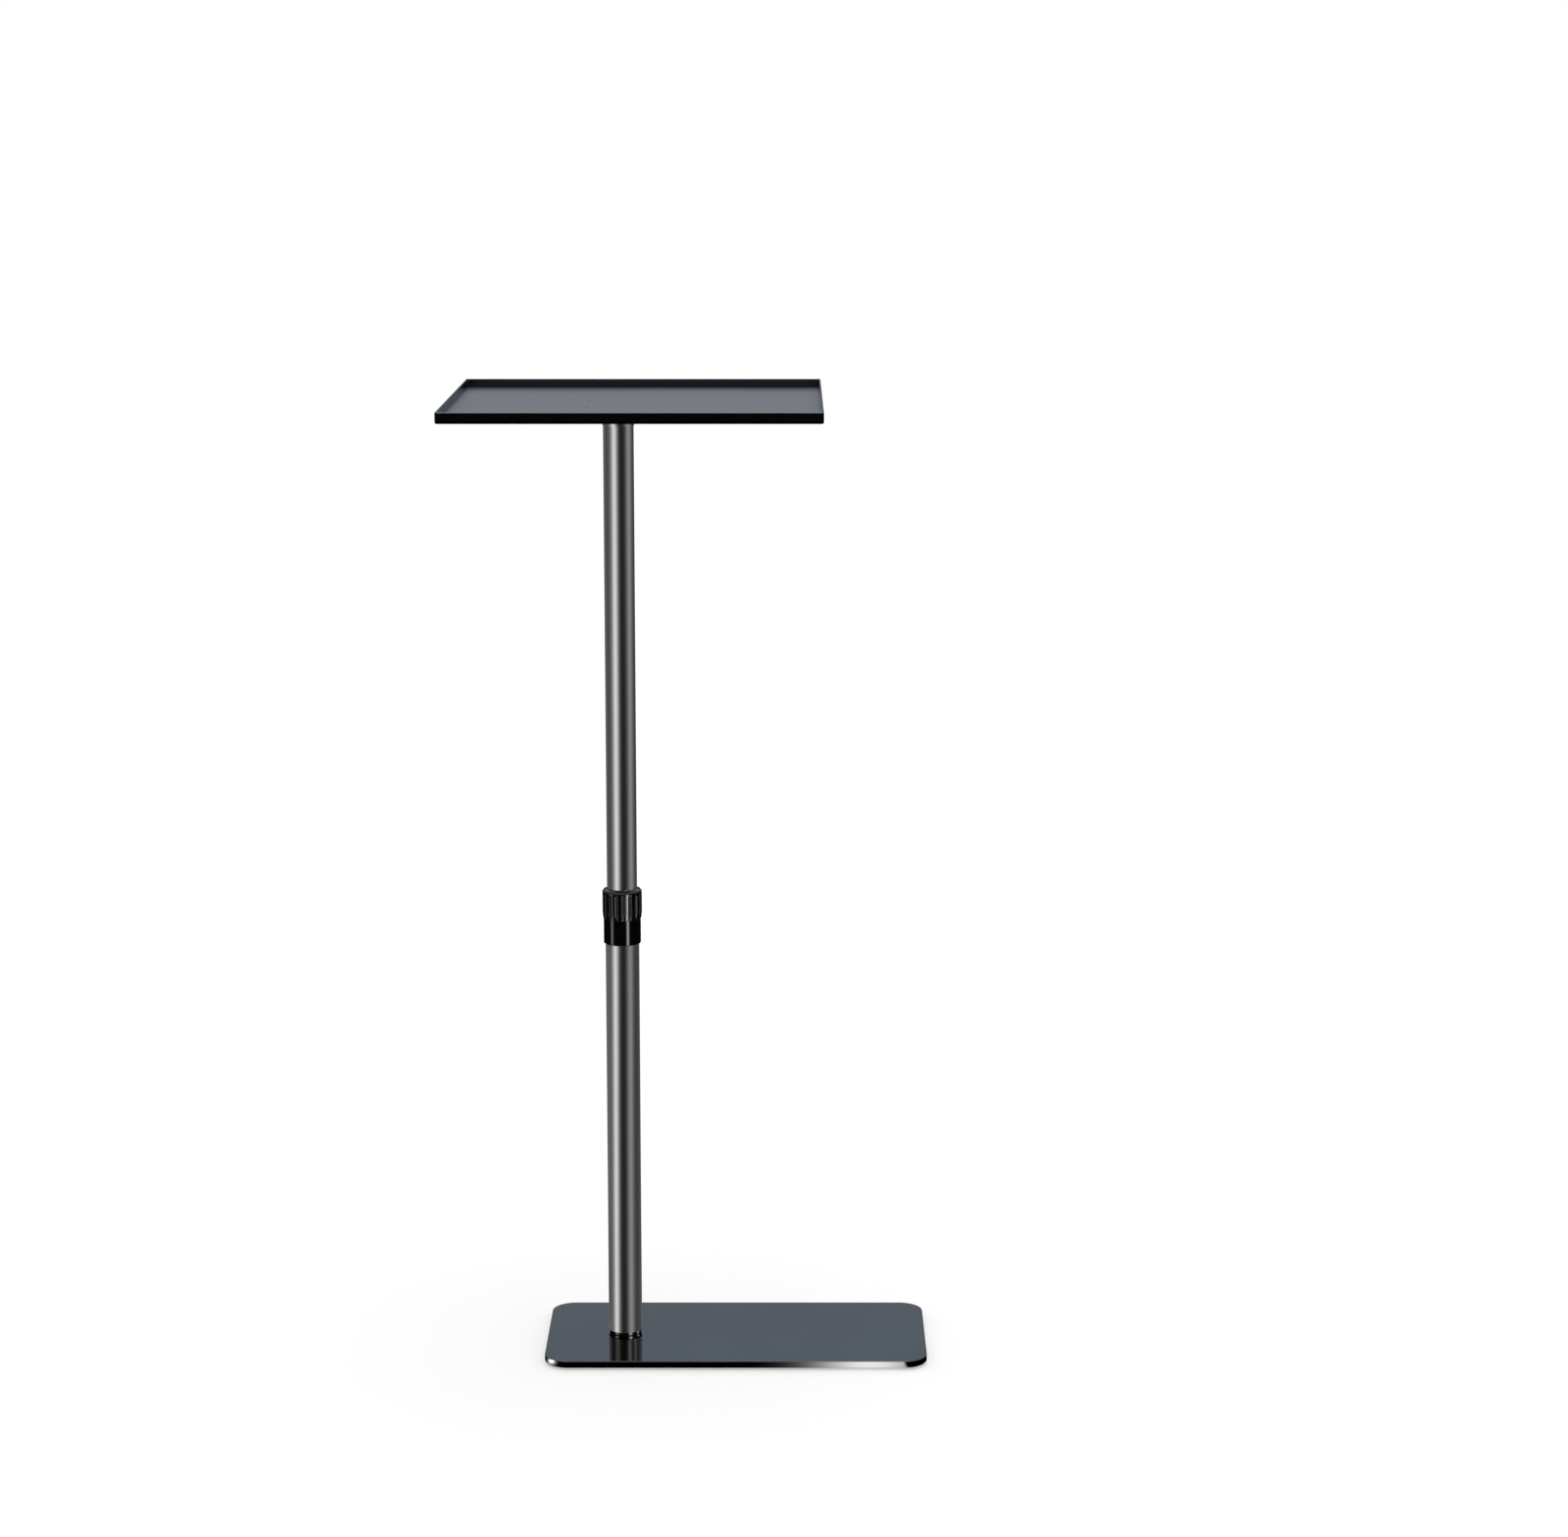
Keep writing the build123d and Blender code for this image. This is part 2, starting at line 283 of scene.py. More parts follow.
def turned(name, outline, sides=192, centre=(COLUMN_X, 0.0), carve=None, closed=True):
    """Outline of (radius, height, edge) rows carried once round an upright axis.

    Point (i, j) stands at the angle t = 2 pi i / sides: x = centre + r cos t, y = centre + r sin t and
    z = height. carve gives new radii and heights as a function of the old ones and t, and hollow grows
    from 0 to 1 with the depth that a point was cut in. The map runs round the axis in u and along the
    outline in v.
    """
    rows = len(outline)
    angle = (np.arange(sides) / sides * 2 * np.pi)[:, None]
    plain, height, edge = (np.tile(column, (sides, 1)) for column in outline.T)
    radius, height = carve(plain, height, angle) if carve else (plain, height)
    hollow = ramp(plain - radius, *HOLLOW_DEPTHS)
    x = centre[0] + radius * np.cos(angle)
    y = centre[1] + radius * np.sin(angle)
    i, j = np.meshgrid(np.arange(sides), np.arange(rows if closed else rows - 1), indexing="ij")
    i = np.stack([i, i + 1, i + 1, i], axis=-1)
    j = np.stack([j, j, j + 1, j + 1], axis=-1)
    loop = np.vstack([outline[:, :2], outline[:1, :2]])
    along = np.r_[0, np.hypot(*np.diff(loop, axis=0).T).cumsum()]
    spread = np.stack([i / sides, along[j] / along[-1]], axis=-1)
    points = np.stack([x, y, height], axis=-1)
    return add_mesh(name, points, i % sides * rows + j % rows, spread, edge=edge, hollow=hollow)


def tube_outline(outer, foot, top):
    """Wall of a tube with its four cut edges eased."""
    bore = outer - TUBE_WALL
    ends = [(bore, foot), (outer, foot), (outer, top), (bore, top)]
    return eased([(*end, TUBE_EASE) for end in ends])


def plug_outline():
    """Ring under the tube, spigot inside it, bolt hole and the cup above the hole."""
    cup_floor = PLUG_TOP - PLUG_CUP_DEPTH
    return eased([
        (PLUG_HOLE_RADIUS, PLATE_TOP, 0.1),
        (PLUG_RING_RADIUS, PLATE_TOP, 0.5),
        (PLUG_RING_RADIUS, LOWER_FOOT, 0.15),
        (PLUG_SPIGOT_RADIUS, LOWER_FOOT, 0.1),
        (PLUG_SPIGOT_RADIUS, PLUG_TOP, 0.4),
        (PLUG_CUP_RADIUS, PLUG_TOP, 0.4),
        (PLUG_CUP_RADIUS, cup_floor, 0.3),
        (PLUG_HOLE_RADIUS, cup_floor, 0.2),
    ])


def sleeve_outline():
    """Smooth sleeve with a rounded foot, and the thinner neck that the nut turns on."""
    bore = LOWER_RADIUS - TUBE_WALL
    return eased([
        (SLEEVE_BORE, SLEEVE_FOOT, 0.15),
        (SLEEVE_RADIUS, SLEEVE_FOOT, 1.0),
        (SLEEVE_RADIUS, SLEEVE_SHOULDER, 0.3),
        (NECK_RADIUS, SLEEVE_SHOULDER, 0.1),
        (NECK_RADIUS, NECK_TOP, 0.25),
        (bore, NECK_TOP, 0.2),
        (bore, LOWER_TOP, 0.1),
        (SLEEVE_BORE, LOWER_TOP, 0.1),
    ])


def nut_outline():
    """Nut with a tapered foot, a deep round at the top, and the cone inside that closes the collet."""
    corners = [
        (NUT_BORE, SLEEVE_SHOULDER, 0.2),
        (NUT_RADIUS - NUT_FOOT_INSET, SLEEVE_SHOULDER, 0.35),
        (NUT_RADIUS, SLEEVE_SHOULDER + NUT_TAPER_HEIGHT, NUT_TAPER_ROUND),
        (NUT_RADIUS, NUT_TOP, NUT_TOP_ROUND),
        (NUT_MOUTH, NUT_TOP, 0.3),
        (NUT_MOUTH, NUT_LIP_FOOT, 0.2),
        (NUT_CONE_TIP, NUT_LIP_FOOT, 0.2),
        (NUT_BORE, NECK_TOP, NUT_CONE_ROUND),
    ]
    return refined(eased(corners, steps=8), NUT_POINT_STEP, NUT_BORE + 0.5)


def fluted(radius, height, angle):
    """Round grooves up the nut's outside, each running out in a cone.

    Along a ray that is d degrees off a groove's axis, the groove's wall is at
    c cos d - sqrt(R^2 - c^2 sin^2 d), where c is the circle that the axes stand on and R the groove's
    radius, which shrinks by half the height above the groove's top. The radius is the softened lesser
    of that and the plain one.
    """
    pitch = 2 * np.pi / FLUTES
    off = (angle - math.radians(FLUTE_TURN) + pitch / 2) % pitch - pitch / 2
    groove = np.maximum(FLUTE_RADIUS - np.maximum(height - FLUTE_TOP, 0) / 2, 0)
    inside = groove**2 - (FLUTE_CIRCLE * np.sin(off)) ** 2
    wall = FLUTE_CIRCLE * np.cos(off) - np.sqrt(np.maximum(inside, 0))
    cut = np.where(inside > 0, radius - wall, -1.0)
    return radius - (cut + np.sqrt(cut**2 + GROOVE_SOFTNESS**2)) / 2, height


def weld_outline():
    """Quarter round in the corner between socket and flange, its two ends led into the metal."""
    swing = np.linspace(0, np.pi / 2, 13)
    bead = WELD_SIZE * np.column_stack([np.cos(swing), np.sin(swing)])
    sunk = [(-WELD_SINK, WELD_SIZE), (-WELD_SINK, -WELD_SINK)]
    out, down = np.vstack([(WELD_SIZE, -WELD_SINK), bead, sunk]).T
    return np.column_stack([SOCKET_RADIUS + out, UPPER_TOP - down, np.zeros_like(out)])


def rippled(radius, height, angle):
    """Ripples of a weld: the bead's size follows a cosine of the angle, each ripple bowed across it."""
    out, down = radius - SOCKET_RADIUS, UPPER_TOP - height
    on_bead = np.minimum(out, down) > -WELD_SINK / 3
    across = np.sin(2 * np.arctan2(np.maximum(down, 0), np.maximum(out, 1e-6)))
    wave = np.cos(WELD_RIPPLES * angle + WELD_RIPPLE_BOW * across)
    ripple = 1 + WELD_RIPPLE_SHARE * wave * across * on_bead
    return SOCKET_RADIUS + out * ripple, UPPER_TOP - down * ripple


def pad_outline():
    """Half section of a pad from the middle of its underside to the middle of its top, with rings below.

    The underside rises as a cosine of the radius between rings, and touches the floor on each ring.
    """
    flat = np.linspace(0, PAD_RADIUS - PAD_RIM, 46)
    rise = PAD_RING_DEPTH / 2 * (1 - np.cos(flat / flat[-1] * 2 * np.pi * PAD_RINGS))
    under = np.column_stack([flat, rise, np.zeros_like(flat)])
    swing = np.linspace(0, np.pi / 2, 7)
    bend = PAD_EASE * np.column_stack([np.sin(swing) - 1, 1 - np.cos(swing)])
    low = np.column_stack([PAD_RADIUS + bend[:, 0], bend[:, 1], np.ones_like(swing)])
    top = [
        (PAD_RADIUS, PAD_HEIGHT - PAD_TOP_EASE, 0),
        (PAD_RADIUS - PAD_TOP_EASE, PAD_HEIGHT, 0),
        (PAD_RADIUS - 3 * PAD_TOP_EASE, PAD_HEIGHT, 0),
        (0, PAD_HEIGHT, 0),
    ]
    return np.vstack([under, low, top])


def add(tree, kind, inputs=None, **settings):
    """New shader node. settings are its properties, and inputs are values or outputs for its sockets."""
    made = tree.nodes.new("ShaderNode" + kind)
    for key, value in settings.items():
        setattr(made, key, value)
    for socket, value in (inputs or {}).items():
        if isinstance(value, bpy.types.NodeSocket):
            tree.links.new(value, made.inputs[socket])
        else:
            made.inputs[socket].default_value = value
    return made


def maths(tree, operation, *values, clamp=False):
    """One operation on numbers or outputs, such as ADD."""
    return add(tree, "Math", dict(enumerate(values)), operation=operation, use_clamp=clamp).outputs[0]


def marked(tree, title):
    """Number that the mesh carries on its points under a title."""
    return add(tree, "Attribute", attribute_name=title).outputs["Fac"]


def grain(tree, scale, stretch=(1, 1, 1), detail=3.0):
    """Noise on the object's own coordinates, in grains per metre.

    It is drawn out along an axis whose stretch is small.
    """
    place = add(tree, "TexCoord").outputs["Object"]
    drawn = add(tree, "Mapping", {"Vector": place, "Scale": stretch})
    settings = {"Vector": drawn.outputs[0], "Scale": scale, "Detail": detail, "Roughness": 0.55}
    return add(tree, "TexNoise", settings).outputs["Fac"]


def ranged(tree, value, low, high, start=0.3, end=0.7):
    """A noise's middle spread over the numbers from low to high."""
    inputs = {"Value": value, "From Min": start, "From Max": end, "To Min": low, "To Max": high}
    return add(tree, "MapRange", inputs).outputs["Result"]


def blended(tree, share, first, second):
    """Colour between two, by a share."""
    mix = add(tree, "Mix", data_type="RGBA")
    tree.links.new(share, mix.inputs["Factor"])
    for socket, value in (("A", first), ("B", second)):
        target = next(s for s in mix.inputs if s.name == socket and s.type == "RGBA")
        if isinstance(value, bpy.types.NodeSocket):
            tree.links.new(value, target)
        else:
            target.default_value = (*value, 1)
    return next(s for s in mix.outputs if s.type == "RGBA")


def finish(name, **constants):
    """New material with its main shader's plain numbers set. Gives material, node tree and shader."""
    material = bpy.data.materials.new(name)
    material.use_nodes = True
    tree = material.node_tree
    shader = tree.nodes["Principled BSDF"]
    for key, value in constants.items():
        shader.inputs[key.replace("_", " ")].default_value = value
    return material, tree, shader


def wire(tree, shader, colour, roughness, bump, strength, depth):
    """Colour, roughness and a height map in metres, into the shader."""
    tree.links.new(colour, shader.inputs["Base Color"])
    tree.links.new(roughness, shader.inputs["Roughness"])
    normal = add(tree, "Bump", {"Height": bump, "Strength": strength, "Distance": depth})
    tree.links.new(normal.outputs[0], shader.inputs["Normal"])


def drawn_steel():
    """Dark bright-drawn tube: fine lines along it, gloss spread round it, paler where the ends were cut."""
    material, tree, shader = finish("drawn_steel", Metallic=1.0, Anisotropic=0.5)
    lines = grain(tree, 1500, (1, 1, 0.01), 4)
    cloud = grain(tree, 22, (1, 1, 0.3), 2)
    tone = blended(tree, ranged(tree, lines, 0, 1), (0.29, 0.29, 0.292), (0.315, 0.315, 0.317))
    tone = blended(tree, marked(tree, "edge"), tone, (0.36, 0.36, 0.365))
    gloss = maths(tree, "ADD", ranged(tree, lines, 0.05, 0.08), ranged(tree, cloud, -0.005, 0.01))
    wire(tree, shader, tone, gloss, lines, 0.2, 1e-6)
    tangent = add(tree, "Tangent", direction_type="UV_MAP", uv_map="around")
    tree.links.new(tangent.outputs[0], shader.inputs["Tangent"])
    return material


def smoked_steel(name, flat_tone, graze, edge_gloss, flat_gloss, painted_upright_shade=1.0):
    """Dark finish of the plates: cool grey with a faint haze and slow waves.

    Edges and flats have a gloss each, and the upright faces have a share of the flat ones' tone and tint.
    That share is painted shade: the same finish made darker where it stands upright.
    """
    material, tree, shader = finish(name, Metallic=1.0, Specular_Tint=(*graze, 1))
    haze = grain(tree, 9, detail=4)
    waves = grain(tree, 55, detail=2)
    lint = grain(tree, 1400, detail=2)
    facing = add(tree, "SeparateXYZ", {0: add(tree, "NewGeometry").outputs["Normal"]}).outputs["Z"]
    flat = ranged(tree, facing, 0, 1, 0.5, 0.9)
    tone = blended(tree, ranged(tree, haze, 0, 1), flat_tone, [1.07 * c for c in flat_tone])
    # Painted shade: the upright faces take a darker share of the tone, and just below of the edge tint
    tone = blended(tree, flat, [painted_upright_shade * c for c in flat_tone], tone)
    if painted_upright_shade != 1:
        tint = blended(tree, flat, [painted_upright_shade * c for c in graze], graze)
        tree.links.new(tint, shader.inputs["Specular Tint"])
    spread = maths(tree, "ADD", ranged(tree, haze, 0, 0.03), ranged(tree, lint, 0, 0.01))
    gloss = maths(tree, "ADD", ranged(tree, flat, edge_gloss, flat_gloss, 0, 1), spread)
    wire(tree, shader, tone, gloss, waves, 0.12, 2e-6)
    return material


def turned_steel():
    """Bright steel of the hub, off the lathe: fine rings about the column, slow changes of gloss."""
    material, tree, shader = finish("turned_steel", Metallic=1.0)
    place = add(tree, "TexCoord").outputs["Object"]
    centred = add(tree, "Mapping", {"Vector": place, "Location": (-COLUMN_X * MM, 0, 0)}).outputs[0]
    settings = {"Vector": centred, "Scale": 600, "Distortion": 0.6, "Detail": 2.0}
    rings = add(tree, "TexWave", settings, wave_type="RINGS", rings_direction="Z").outputs["Fac"]
    drift = grain(tree, 40, detail=3)
    tone = blended(tree, rings, (0.29, 0.29, 0.292), (0.34, 0.34, 0.342))
    wire(tree, shader, tone, ranged(tree, drift, 0.08, 0.14), rings, 0.15, 2e-6)
    return material


def moulded_plastic(name, dark, light, low, high, level, depth):
    """Moulded black plastic: a faint skin, flow marks, worn edges and dull grooves.

    The flow marks lie between two tones and two glosses.
    """
    material, tree, shader = finish(name, Specular_IOR_Level=level)
    skin = grain(tree, 2600, detail=2)
    flow = grain(tree, 60, (1, 1, 0.25), 3)
    tone = blended(tree, ranged(tree, flow, 0, 1), dark, light)
    wear = ranged(tree, marked(tree, "edge"), 0, 0.25, 0, 1)
    tone = blended(tree, wear, tone, (0.03, 0.03, 0.032))
    gloss = maths(tree, "ADD", ranged(tree, flow, low, high), ranged(tree, skin, 0, 0.04))
    gloss = maths(tree, "MULTIPLY_ADD", marked(tree, "hollow"), 0.5, gloss)
    wire(tree, shader, tone, gloss, skin, 0.06, depth)
    return material


def pad_rubber():
    """Matt black rubber with a powdery bloom."""
    material, tree, shader = finish("pad_rubber", Specular_IOR_Level=0.3)
    bloom = grain(tree, 160, detail=5)
    pores = grain(tree, 3200, detail=2)
    tone = blended(tree, ranged(tree, bloom, 0, 1), (0.012, 0.012, 0.012), (0.022, 0.022, 0.021))
    wire(tree, shader, tone, ranged(tree, bloom, 0.72, 0.86), pores, 0.4, 3e-5)
    return material


def screw_steel():
    """Blackened screw steel with a fine grain and handling shine."""
    material, tree, shader = finish("screw_steel", Metallic=1.0)
    turning = grain(tree, 2200, detail=3)
    wear = grain(tree, 350, detail=4)
    tone = blended(tree, ranged(tree, wear, 0, 1), (0.09, 0.095, 0.105), (0.13, 0.135, 0.145))
    wire(tree, shader, tone, ranged(tree, wear, 0.28, 0.42), turning, 0.3, 8e-6)
    return material


def seen(tree):
    """1 for what the camera sees, straight or in gloss or glass, and 0 for dull light."""
    path = add(tree, "LightPath").outputs
    both = maths(tree, "ADD", path["Is Camera Ray"], path["Is Glossy Ray"])
    return maths(tree, "ADD", both, path["Is Transmission Ray"], clamp=True)


def white_sky():
    """White all round for the camera and for gloss, a little less for dull surfaces."""
    world = bpy.data.worlds.new("white_sky")
    bpy.context.scene.world = world
    world.use_nodes = True
    tree = world.node_tree
    sky = tree.nodes["Background"]
    sky.inputs["Color"].default_value = (1, 1, 1, 1)
    share = maths(tree, "MULTIPLY_ADD", seen(tree), 1 - SKY_FILL, SKY_FILL)
    tree.links.new(share, sky.inputs["Strength"])


def grid_faces(columns, rows, wrap):
    """Corners of each cell of a grid of points. With wrap the last column joins the first."""
    i, j = np.meshgrid(np.arange(columns if wrap else columns - 1), np.arange(rows - 1), indexing="ij")
    i = np.stack([i, i, i + 1, i + 1], axis=-1)
    j = np.stack([j, j + 1, j + 1, j], axis=-1)
    return i % columns * rows + j


def disc(name, radii, sides, lift, glow=None):
    """Flat disc about the column, facing up.

    Point (i, j) lies at the angle t_i from the front, to the right, and the radius r_j, so
    x = column + r sin t and y = -r cos t. glow gives a strength as a function of t in degrees and r in
    metres.
    """
    angle, radius = np.meshgrid(np.arange(sides) / sides * 360, np.array(radii, float), indexing="ij")
    x = COLUMN_X + radius / MM * np.sin(np.radians(angle))
    y = -radius / MM * np.cos(np.radians(angle))
    points = np.stack([x, y, np.full(x.shape, lift)], axis=-1)
    marks = {"glow": glow(angle, radius)} if glow else {}
    return add_mesh(name, points, grid_faces(sides, len(radii), True), **marks)


def wall(name, radius, heights, angles, glow):
    """Upright round wall about the column, facing it: x = column + r sin t, y = -r cos t, z = height."""
    angle, height = np.meshgrid(angles, heights, indexing="ij")
    x = COLUMN_X + radius / MM * np.sin(np.radians(angle))
    y = -radius / MM * np.cos(np.radians(angle))
    points = np.stack([x, y, height / MM], axis=-1)
    return add_mesh(name, points, grid_faces(len(angles), len(heights), False), glow=glow(angle, height))


def card(name, x_span, y_span, lift, glow):
    """Flat card facing up: a grid of points in even steps of x and y, each with its own glow."""
    x, y = np.meshgrid(np.arange(*x_span, CARD_STEP), np.arange(*y_span, CARD_STEP), indexing="ij")
    points = np.stack([x, y, np.full(x.shape, lift)], axis=-1)
    return add_mesh(name, points, grid_faces(*x.shape, False)[..., ::-1], glow=glow(x, y))


def bare(name):
    """New material with its output alone. Gives material, node tree and the output's socket."""
    material = bpy.data.materials.new(name)
    material.use_nodes = True
    tree = material.node_tree
    tree.nodes.remove(tree.nodes["Principled BSDF"])
    return material, tree, tree.nodes["Material Output"].inputs["Surface"]


def floor_white():
    """White floor that takes the stand's shadow, and turns into even white light away from it."""
    material, tree, surface = bare("floor_white")
    white = (1, 1, 1, 1)
    place = add(tree, "TexCoord").outputs["Object"]
    distance = add(tree, "VectorMath", {0: place}, operation="LENGTH").outputs["Value"]
    fade = {"Value": distance, "From Min": FLOOR_FADE[0], "From Max": FLOOR_FADE[1]}
    far = add(tree, "MapRange", fade, interpolation_type="SMOOTHSTEP").outputs["Result"]
    near_lift = maths(tree, "MULTIPLY", seen(tree), FLOOR_SEEN - FLOOR_WHITE)
    far_lift = maths(tree, "ADD", near_lift, FLOOR_WHITE)
    paint = add(tree, "BsdfDiffuse", {"Color": (FLOOR_WHITE, FLOOR_WHITE, FLOOR_WHITE, 1)})
    near_light = add(tree, "Emission", {"Color": white, "Strength": near_lift})
    far_light = add(tree, "Emission", {"Color": white, "Strength": far_lift})
    near = add(tree, "AddShader", {0: paint.outputs[0], 1: near_light.outputs[0]})
    both = add(tree, "MixShader", {0: far, 1: near.outputs[0], 2: far_light.outputs[0]})
    tree.links.new(both.outputs[0], surface)
    return material


def flag_glow(name, colour=(1, 1, 1), twice=False, sheer=False):
    """Light of the studio's flags and panels, on their front side, by the strength of each point.

    With twice it shows only to what is mirrored in another mirror. A sheer one lets the light behind it
    through.
    """
    material, tree, surface = bare(name)
    light = add(tree, "Emission", {"Color": (*colour, 1), "Strength": marked(tree, "glow")})
    clear = add(tree, "BsdfTransparent")
    hidden = add(tree, "NewGeometry").outputs["Backfacing"]
    if twice:
        depth = add(tree, "LightPath").outputs["Glossy Depth"]
        hidden = maths(tree, "MAXIMUM", hidden, maths(tree, "LESS_THAN", depth, 1.5))
    front = add(tree, "AddShader", {0: light.outputs[0], 1: clear.outputs[0]}) if sheer else light
    shown = add(tree, "MixShader", {0: hidden, 1: front.outputs[0], 2: clear.outputs[0]})
    tree.links.new(shown.outputs[0], surface)
    material.cycles.emission_sampling = "NONE"
    return material


def bells(angle, panels):
    """Sum of bell curves of an angle, one for each panel's middle, half-width and strength."""
    middle, width, strength = np.array(panels, float).T.reshape(3, 1, 1, -1)
    off = (angle[..., None] - COLUMN_VIEW - middle + 180) % 360 - 180
    return np.sum(strength * np.exp(-0.5 * (off / width) ** 2), axis=-1)


def lower_glow(angle, radius):
    """What the lower tube mirrors: two panels over a dark ground, and soft light from the sides.

    All of it turns left towards the foot.
    """
    return LOWER_GROUND + bells(angle + LOWER_LEAN * ramp(radius, LOWER_LEAN_RADIUS, 0), LOWER_PANELS)


def upper_glow(angle, radius):
    """What the upper tube mirrors: the same panels, turned to the right, and more so towards the tray."""
    lean = UPPER_LEAN * ramp(np.log(radius), math.log(UPPER_END), math.log(UPPER_REACH))
    return UPPER_GROUND + bells(angle + lean, UPPER_PANELS)


def mirrored(angle, radius):
    """Direction in degrees of the ray from the lower tube that meets the floor at a given point.

    The point is an angle and a radius in metres. Seen from the camera, a ray that leaves the tube at the
    angle t to the side goes on in the direction 2 t. It meets the radius R at 2 t - asin(a sin t / R),
    where a is the tube's radius, and t is closed in on by turns.
    """
    met = np.radians((angle - COLUMN_VIEW + 180) % 360 - 180)
    share = LOWER_RADIUS * MM / np.maximum(radius, LOWER_RADIUS * MM)
    side = met / 2
    for _ in range(MIRROR_TURNS):
        side = (met + np.arcsin(share * np.sin(side))) / 2
    return np.degrees(2 * side) + COLUMN_VIEW


def floor_glow(angle, radius):
    """Studio floor as the column mirrors it: the lower tube's part, and the upper one's farther out.

    One fades into the other between their reaches, and close behind the foot the panels fade into even
    light.
    """
    upper = upper_glow(angle, np.maximum(radius, LOWER_REACH))
    lower = lower_glow(mirrored(angle, radius), radius)
    behind = ramp(np.abs((angle + 180) % 360 - 180), *BEHIND_ANGLES) * ramp(radius, *BEHIND_RADII)
    lower += behind * (BEHIND_GLOW - lower)
    return lower + (upper - lower) * ramp(radius, LOWER_REACH, UPPER_REACH)


def plate_glow(x, y):
    """The floor's panels carried on over the plate."""
    radius = np.hypot(x - COLUMN_X, y) * MM
    return floor_glow(np.degrees(np.arctan2(x - COLUMN_X, -y)), radius)


def sleeve_glow(angle, radius):
    """Narrow strips that the black sleeve mirrors, as bright all the way out."""
    return bells(angle, SLEEVE_STRIPS)


def nut_glow(angle, radius):
    """The same strips for the nut, the right one wider, so that it fills a rib."""
    return bells(angle, NUT_STRIPS)


def front_glow(angle, height):
    """Wall behind the camera: the upper tube's panels go on up."""
    return upper_glow(angle, FLAG_RADIUS)


def twice_glow(angle, height):
    """Taller wall behind the camera: softer panels for the column's image in the base."""
    return TALL_GROUND + bells(angle, TALL_PANELS)


def back_glow(angle, height):
    """Wall behind the stand: an even grey that pales from the height that the front of the tray mirrors."""
    return BACK_GREY + (1 - BACK_GREY) * ramp(height, *BACK_PALING)


def even_glow(angle, height):
    """White all over."""
    return np.ones_like(angle)


def edge_glow(x, y):
    """Ground round the base: a bright panel before its right half, a small one at its left corner.

    The panel is a bell curve of x, cut off at its right end and at the plate's front. The small one is
    round. Towards the back the ground is pale.
    """
    bell = np.exp(-0.5 * ((x - EDGE_PANEL_MIDDLE) / EDGE_PANEL_WIDTH) ** 2) * ramp(x, *EDGE_PANEL_END)
    front = EDGE_PANEL_GLOW * bell * ramp(y, *EDGE_PANEL_FRONT)
    away = np.hypot(x - EDGE_SPOT_PLACE[0], y - EDGE_SPOT_PLACE[1])
    spot = EDGE_SPOT_GLOW * np.exp(-0.5 * (away / EDGE_SPOT_WIDTH) ** 2)
    return front + spot + ramp(y, *EDGE_PALING)


def spark_glow(angle, radius):
    """Three small lights that the foot ring mirrors."""
    return bells(mirrored(angle, radius), FOOT_SPARKS)


def glint_glow(angle, height):
    """The same three lights, stronger, for the ring's image in the base."""
    return bells(mirrored(angle, GLINT_RADIUS), FOOT_GLINTS)


def gloss_only(panel, material, *lit):
    """Panel that shows in reflections alone. Where some pieces are named, only they see it shine."""
    panel.data.materials.append(material)
    for ray in ("camera", "diffuse", "shadow", "transmission", "volume_scatter"):
        setattr(panel, "visible_" + ray, False)
    if lit:
        group = bpy.data.collections.new(panel.name + "_lit")
        panel.light_linking.receiver_collection = group
        for piece in lit:
            group.objects.link(piece)


def fit(piece, body, slot, *nodes):
    """Gives a new piece the finish of its slot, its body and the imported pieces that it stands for."""
    piece.data.materials.append(finishes[slot])
    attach(piece, body)
    if nodes:
        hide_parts(*nodes)
    return piece


camera = bpy.data.objects.new("camera", bpy.data.cameras.new("camera"))
camera.data.sensor_width = SENSOR
camera.data.lens = FOCAL_PIXELS / PICTURE_WIDTH * SENSOR
camera.data.clip_end = CAMERA_REACH
camera.location = CAMERA_PLACE
camera.rotation_euler = (math.radians(90 - CAMERA_TILT), 0, 0)
bpy.context.scene.collection.objects.link(camera)
bpy.context.scene.camera = camera
bpy.context.scene.view_settings.view_transform = "Standard"

finishes = {
    "tube_finish": drawn_steel(),
    "base_finish": smoked_steel(
        "base_smoked_steel",
        flat_tone=(0.079, 0.101, 0.127),
        graze=(0.56, 0.56, 0.56),
        edge_gloss=0.05,
        flat_gloss=0.05,
    ),
    "tray_finish": smoked_steel(
        "tray_smoked_steel",
        flat_tone=(0.125, 0.136, 0.157),
        graze=(0.72, 0.74, 0.78),
        edge_gloss=0.12,
        flat_gloss=0.5,
        # painted shade on the tray's upright faces
        painted_upright_shade=0.65,
    ),
    "hub_finish": turned_steel(),
    "lock_plastic": moulded_plastic(
        "lock_plastic",
        dark=(0.002, 0.002, 0.0024),
        light=(0.004, 0.004, 0.0046),
        low=0.05,
        high=0.08,
        level=0.35,
        depth=2e-6,
    ),
    "inner_plastic": moulded_plastic(
        "inner_plastic",
        dark=(0.03, 0.03, 0.031),
        light=(0.045, 0.045, 0.047),
        low=0.45,
        high=0.55,
        level=0.4,
        depth=1e-5,
    ),
    "pad_rubber": pad_rubber(),
    "screw_steel": screw_steel(),
}
nodes = frame["nodes"]
for part in frame["record"]["subparts"]:
    nodes[part["node"]].material_slots[0].material = finishes[part["material_slot"]]

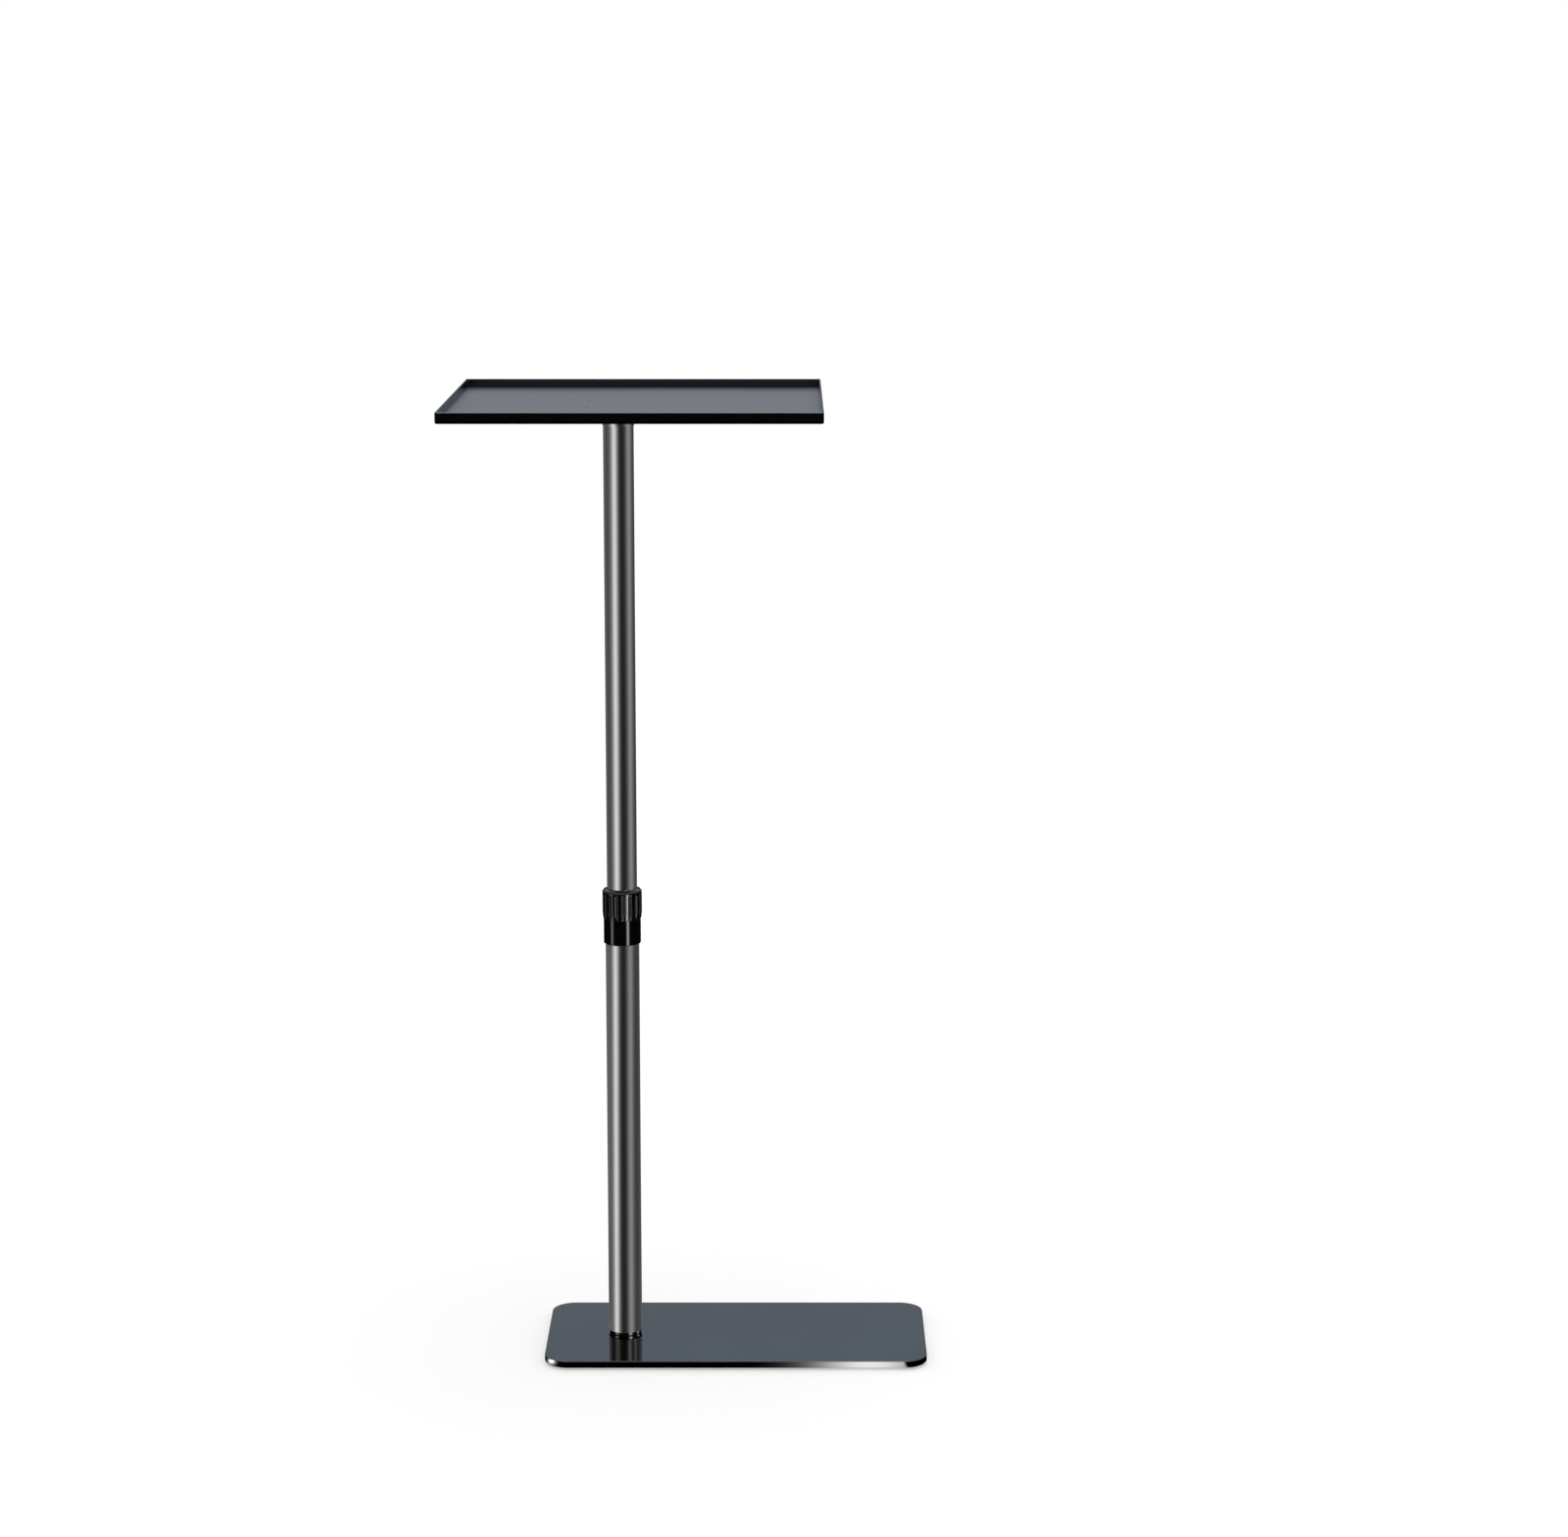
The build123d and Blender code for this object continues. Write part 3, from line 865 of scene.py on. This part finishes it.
lower_tube = turned("lower_tube_drawn", tube_outline(LOWER_RADIUS, LOWER_FOOT, LOWER_TOP))
upper_tube = turned("upper_tube_drawn", tube_outline(UPPER_RADIUS, UPPER_FOOT, UPPER_TOP))
foot_plug = turned("foot_plug_moulded", plug_outline())
lock_sleeve = turned("lock_sleeve_moulded", sleeve_outline())
lock_nut = turned("lock_nut_fluted", nut_outline(), sides=FLUTES * NUT_SIDES_PER_FLUTE, carve=fluted)
weld = turned("socket_weld", weld_outline(), sides=WELD_RIPPLES * 8, carve=rippled)
fit(lower_tube, "stand", "tube_finish", "lower_tube")
fit(upper_tube, "mast", "tube_finish", "upper_tube")
fit(foot_plug, "stand", "lock_plastic", "foot_plug")
fit(lock_sleeve, "stand", "lock_plastic", "lock_sleeve")
fit(lock_nut, "nut", "lock_plastic", "lock_nut")
fit(weld, "mast", "hub_finish")
for pad_name, pad_place in PAD_PLACES.items():
    pad = turned(pad_name + "_ringed", pad_outline(), sides=72, centre=pad_place, closed=False)
    fit(pad, "stand", "pad_rubber", pad_name)

white_sky()
floor = disc("studio_floor", FLOOR_RADII, 96, 0.0)
floor.data.materials.append(floor_white())
lamp = bpy.data.objects.new("overhead_box", bpy.data.lights.new("overhead_box", "AREA"))
lamp.data.size = LAMP_SIZE
lamp.data.energy = LAMP_WATTS
lamp.location = (0, 0, LAMP_HEIGHT)
bpy.context.scene.collection.objects.link(lamp)

flag = flag_glow("flag_glow")
strips = flag_glow("strip_glow", sheer=True)
tall = flag_glow("tall_glow", TALL_TINT, twice=True)
glints = flag_glow("glint_glow", TALL_TINT, twice=True, sheer=True)
back_light = flag_glow("back_glow", BACK_TINT)
edge_light = flag_glow("edge_glow", EDGE_TINT, sheer=True)
bright = (lower_tube, upper_tube, nodes["tray_hub"], weld)
plates = (nodes["base_plate"], nodes["tray_pan"])

# Panels round the studio, before the stand and behind it
before = np.linspace(-SIDE_REACH, SIDE_REACH, 2 * SIDE_REACH + 1)
behind = before + 180
front_heights = np.linspace(0, FRONT_TOP, 3)
tall_heights = np.linspace(0, TALL_TOP, 3)
back_heights = np.linspace(0, BACK_TOP, 49)
sky_heights = np.linspace(BACK_TOP, SKY_FLAG_TOP, 3)
gloss_only(wall("front_flags", FLAG_RADIUS, front_heights, before, front_glow), flag, *bright)
gloss_only(wall("tall_flags", TALL_RADIUS, tall_heights, before, twice_glow), tall)
gloss_only(wall("back_panel", FLAG_RADIUS, back_heights, behind, back_glow), back_light)
gloss_only(wall("sky_flag", FLAG_RADIUS, sky_heights, behind, even_glow), flag, *bright, *plates)

# Panels on the floor
near_rings = np.geomspace(0.02, LOWER_REACH, 24)
fading_rings = np.linspace(LOWER_REACH + 0.05, UPPER_REACH, 6)
far_rings = np.geomspace(2, FLAG_RADIUS, 8)
rings = np.r_[0, near_rings, fading_rings, far_rings]
gloss_only(disc("floor_flags", rings, 360, FLAG_LIFT, floor_glow), flag, *bright)
gloss_only(disc("sleeve_strips", STRIP_RADII, 720, SLEEVE_STRIP_LIFT, sleeve_glow), strips, lock_sleeve)
gloss_only(disc("nut_strips", STRIP_RADII, 720, NUT_STRIP_LIFT, nut_glow), strips, lock_nut)
gloss_only(card("edge_card", *EDGE_CARD, EDGE_CARD_LIFT, edge_glow), edge_light, nodes["base_plate"])

# Panels on the plate, round the column's foot
flag_radii = np.linspace(LOWER_RADIUS * MM, 0.06, 24)
spark_radii = np.linspace(0.0135, GLINT_RADIUS, 12)
gloss_only(card("plate_card", *PLATE_CARD, PLATE_CARD_LIFT, plate_glow), flag, lower_tube)
gloss_only(disc("foot_flags", flag_radii, 360, FOOT_FLAG_LIFT, floor_glow), flag, lower_tube)
gloss_only(disc("foot_sparks", spark_radii, 360, FOOT_SPARK_LIFT, spark_glow), strips, foot_plug)
for side, middle in GLINT_ANGLES.items():
    arc = middle + np.linspace(-GLINT_REACH, GLINT_REACH, 2 * GLINT_REACH + 1)
    gloss_only(wall("foot_glint_" + side, GLINT_RADIUS, GLINT_HEIGHTS, arc, glint_glow), glints, foot_plug)
